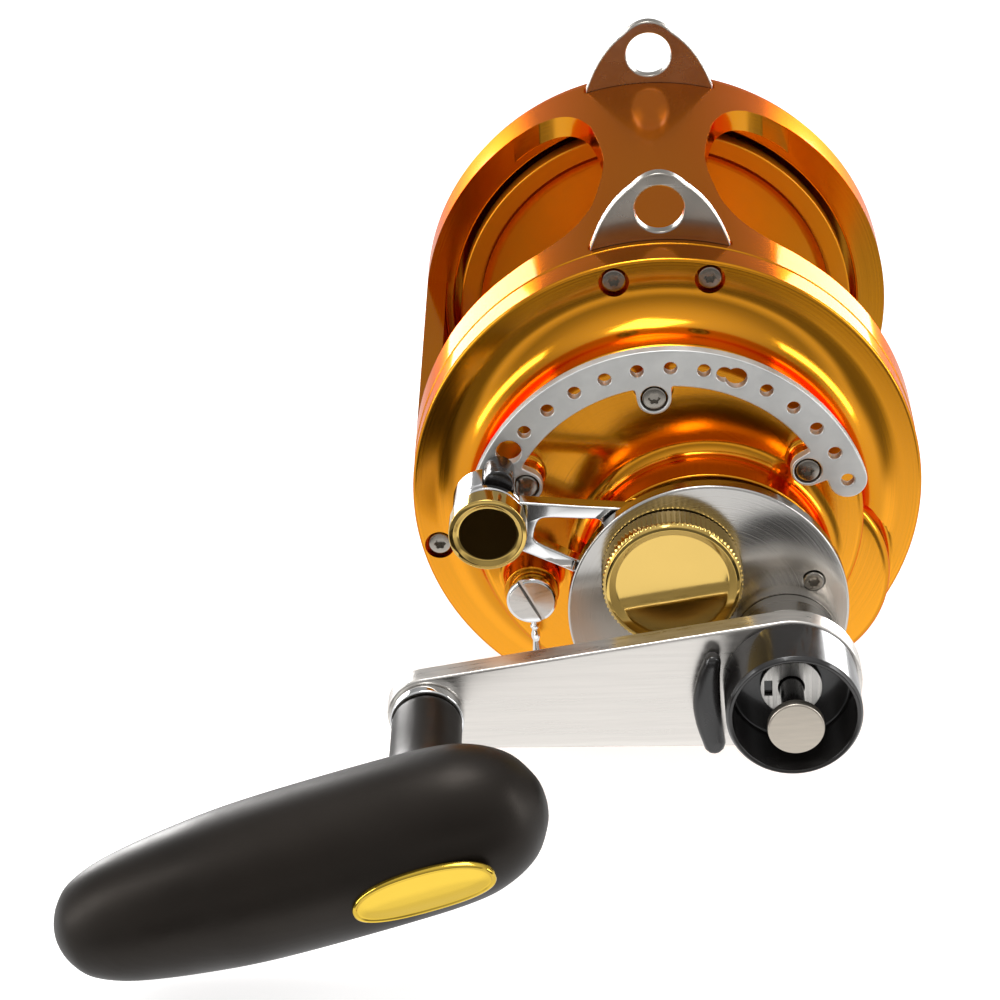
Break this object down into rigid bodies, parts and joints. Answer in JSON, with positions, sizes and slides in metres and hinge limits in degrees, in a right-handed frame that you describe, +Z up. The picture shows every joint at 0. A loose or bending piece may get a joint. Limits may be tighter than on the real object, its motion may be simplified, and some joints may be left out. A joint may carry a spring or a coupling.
{
  "type": "two-speed lever drag trolling reel",
  "caption": "Wide lever-drag trolling reel with ring frame, harness lugs, drag quadrant and lever, preset knob, two-speed crank and torpedo grip.",
  "frame": {"origin": "centre of the flat underside of the reel foot, where it sits in a rod's reel seat", "axes": "+Z up away from the rod, spool axis along Y at z = 0.070 m, crank on the -Y side, line leaves towards +X (rod tip)"},
  "size_m": [0.2068, 0.2631, 0.1503],
  "materials": {
    "gold_anodise": "bright gold anodised",
    "gold_plate": "polished gold plate",
    "stainless": "brushed",
    "chrome": "mirror",
    "satin_steel": "satin",
    "black_gloss": "gloss",
    "grip_rubber": "matt soft touch",
    "bronze": "machined",
    "carbon": "woven friction lining"
  },
  "bodies": {
    "frame": {"frame": "gold_anodise", "reel_foot": "stainless", "foot_screw_rear": "stainless", "foot_screw_front": "stainless", "harness_lug_right": "stainless", "harness_lug_left": "stainless", "right_side_plate": "gold_anodise", "left_side_plate": "gold_anodise", "right_plate_screw_1": "stainless", "right_plate_screw_2": "stainless", "right_plate_screw_3": "stainless", "right_plate_screw_4": "stainless", "right_plate_screw_5": "stainless", "left_plate_screw_1": "stainless", "left_plate_screw_2": "stainless", "left_plate_screw_3": "stainless", "left_plate_bearing": "stainless", "sleeve_bearing": "stainless", "crank_bushing": "bronze", "drag_quadrant": "satin_steel", "quadrant_screw_1": "stainless", "quadrant_screw_2": "stainless", "quadrant_screw_3": "stainless", "gear_cover": "stainless", "gear_cover_screw_1": "stainless", "gear_cover_screw_2": "stainless", "gear_cover_screw_3": "stainless", "clicker_pivot_screw": "chrome"},
    "crank": {"crank_shaft": "stainless", "crank_collar": "stainless", "crank_arm": "satin_steel", "shift_button_guard": "black_gloss", "shift_washer": "stainless", "grip_pin": "stainless", "grip_collar": "stainless", "high_speed_gear": "bronze", "anti_reverse_ratchet": "stainless"},
    "grip": {"grip": "grip_rubber", "grip_badge": "gold_plate"},
    "low_button": {"low_speed_button": "satin_steel", "button_stem": "black_gloss"},
    "release": {"release_lever": "black_gloss"},
    "low_gear": {"low_speed_gear": "bronze"},
    "drive": {"drive_sleeve": "stainless", "pressure_plate": "stainless", "high_speed_pinion": "stainless", "low_speed_pinion": "stainless"},
    "spindle": {"spindle": "stainless"},
    "spool": {"spool": "gold_anodise", "drag_washer": "carbon", "spool_bearing_right": "stainless", "spool_bearing_left": "stainless", "click_ratchet": "bronze"},
    "lever": {"drag_lever": "chrome", "drag_cam": "stainless"},
    "lever_button": {"lever_button": "gold_plate"},
    "plunger": {"detent_plunger": "black_gloss"},
    "knob": {"preset_knob": "gold_plate"},
    "clicker": {"clicker_lever": "chrome"},
    "pawl": {"anti_reverse_pawl": "stainless"}
  },
  "joints": [
    {"name": "crank_turn", "type": "hinge", "parent": "frame", "child": "crank", "pos_m": [0.02686, -0.1055, 0.04998], "axis": [0, 1, 0], "continuous": true},
    {"name": "grip_spin", "type": "hinge", "parent": "crank", "child": "grip", "pos_m": [-0.059, -0.1755, 0.04352], "axis": [0, 1, 0], "continuous": true},
    {"name": "low_speed_push", "type": "slide", "parent": "crank", "child": "low_button", "axis": [0, 1, 0], "range_m": [0, 0.0045], "stiffness_N_per_m": 900, "springref_m": -0.002},
    {"name": "release_press", "type": "hinge", "parent": "crank", "child": "release", "pos_m": [0.008, -0.1275, 0.059], "axis": [0, 1, 0], "range_deg": [0, 7], "stiffness_Nm_per_rad": 0.4, "springref_deg": -5.73},
    {"name": "low_gear_turn", "type": "hinge", "parent": "frame", "child": "low_gear", "pos_m": [0.02686, -0.061, 0.04998], "axis": [0, 1, 0], "continuous": true},
    {"name": "drive_turn", "type": "hinge", "parent": "frame", "child": "drive", "pos_m": [0, -0.06, 0.07], "axis": [0, 1, 0], "continuous": true},
    {"name": "lever_swing", "type": "hinge", "parent": "frame", "child": "lever", "pos_m": [0, -0.0985, 0.07], "axis": [0, 1, 0], "range_deg": [0, 145]},
    {"name": "spindle_shift", "type": "slide", "parent": "frame", "child": "spindle", "axis": [0, -1, 0], "range_m": [0, 0.0006]},
    {"name": "spool_spin", "type": "hinge", "parent": "spindle", "child": "spool", "pos_m": [0, 0, 0.07], "axis": [0, 1, 0], "continuous": true},
    {"name": "knob_turn", "type": "hinge", "parent": "spindle", "child": "knob", "pos_m": [0, -0.1095, 0.07], "axis": [0, 1, 0], "range_deg": [-270, 270]},
    {"name": "lever_button_push", "type": "slide", "parent": "lever", "child": "lever_button", "axis": [0, 1, 0], "range_m": [0, 0.0015], "stiffness_N_per_m": 900, "springref_m": -0.002},
    {"name": "detent_plunger_slide", "type": "slide", "parent": "lever", "child": "plunger", "axis": [0, -1, 0], "range_m": [0, 0.0012], "stiffness_N_per_m": 900, "springref_m": -0.002},
    {"name": "clicker_flip", "type": "hinge", "parent": "frame", "child": "clicker", "pos_m": [-0.0339, -0.0923, 0.0572], "axis": [0, 1, 0], "range_deg": [0, 30]},
    {"name": "pawl_lift", "type": "hinge", "parent": "frame", "child": "pawl", "pos_m": [0.02686, -0.0703, 0.03248], "axis": [0, 1, 0], "range_deg": [-14, 0], "stiffness_Nm_per_rad": 0.05, "springref_deg": 11.46}
  ],
  "couplings": [
    {"joint": "drive_turn", "follows": "crank_turn", "ratio": -2.7222},
    {"joint": "low_gear_turn", "follows": "crank_turn", "ratio": 2.2072},
    {"joint": "spindle_shift", "follows": "lever_swing", "m_per_rad": 0.00023709}
  ]
}
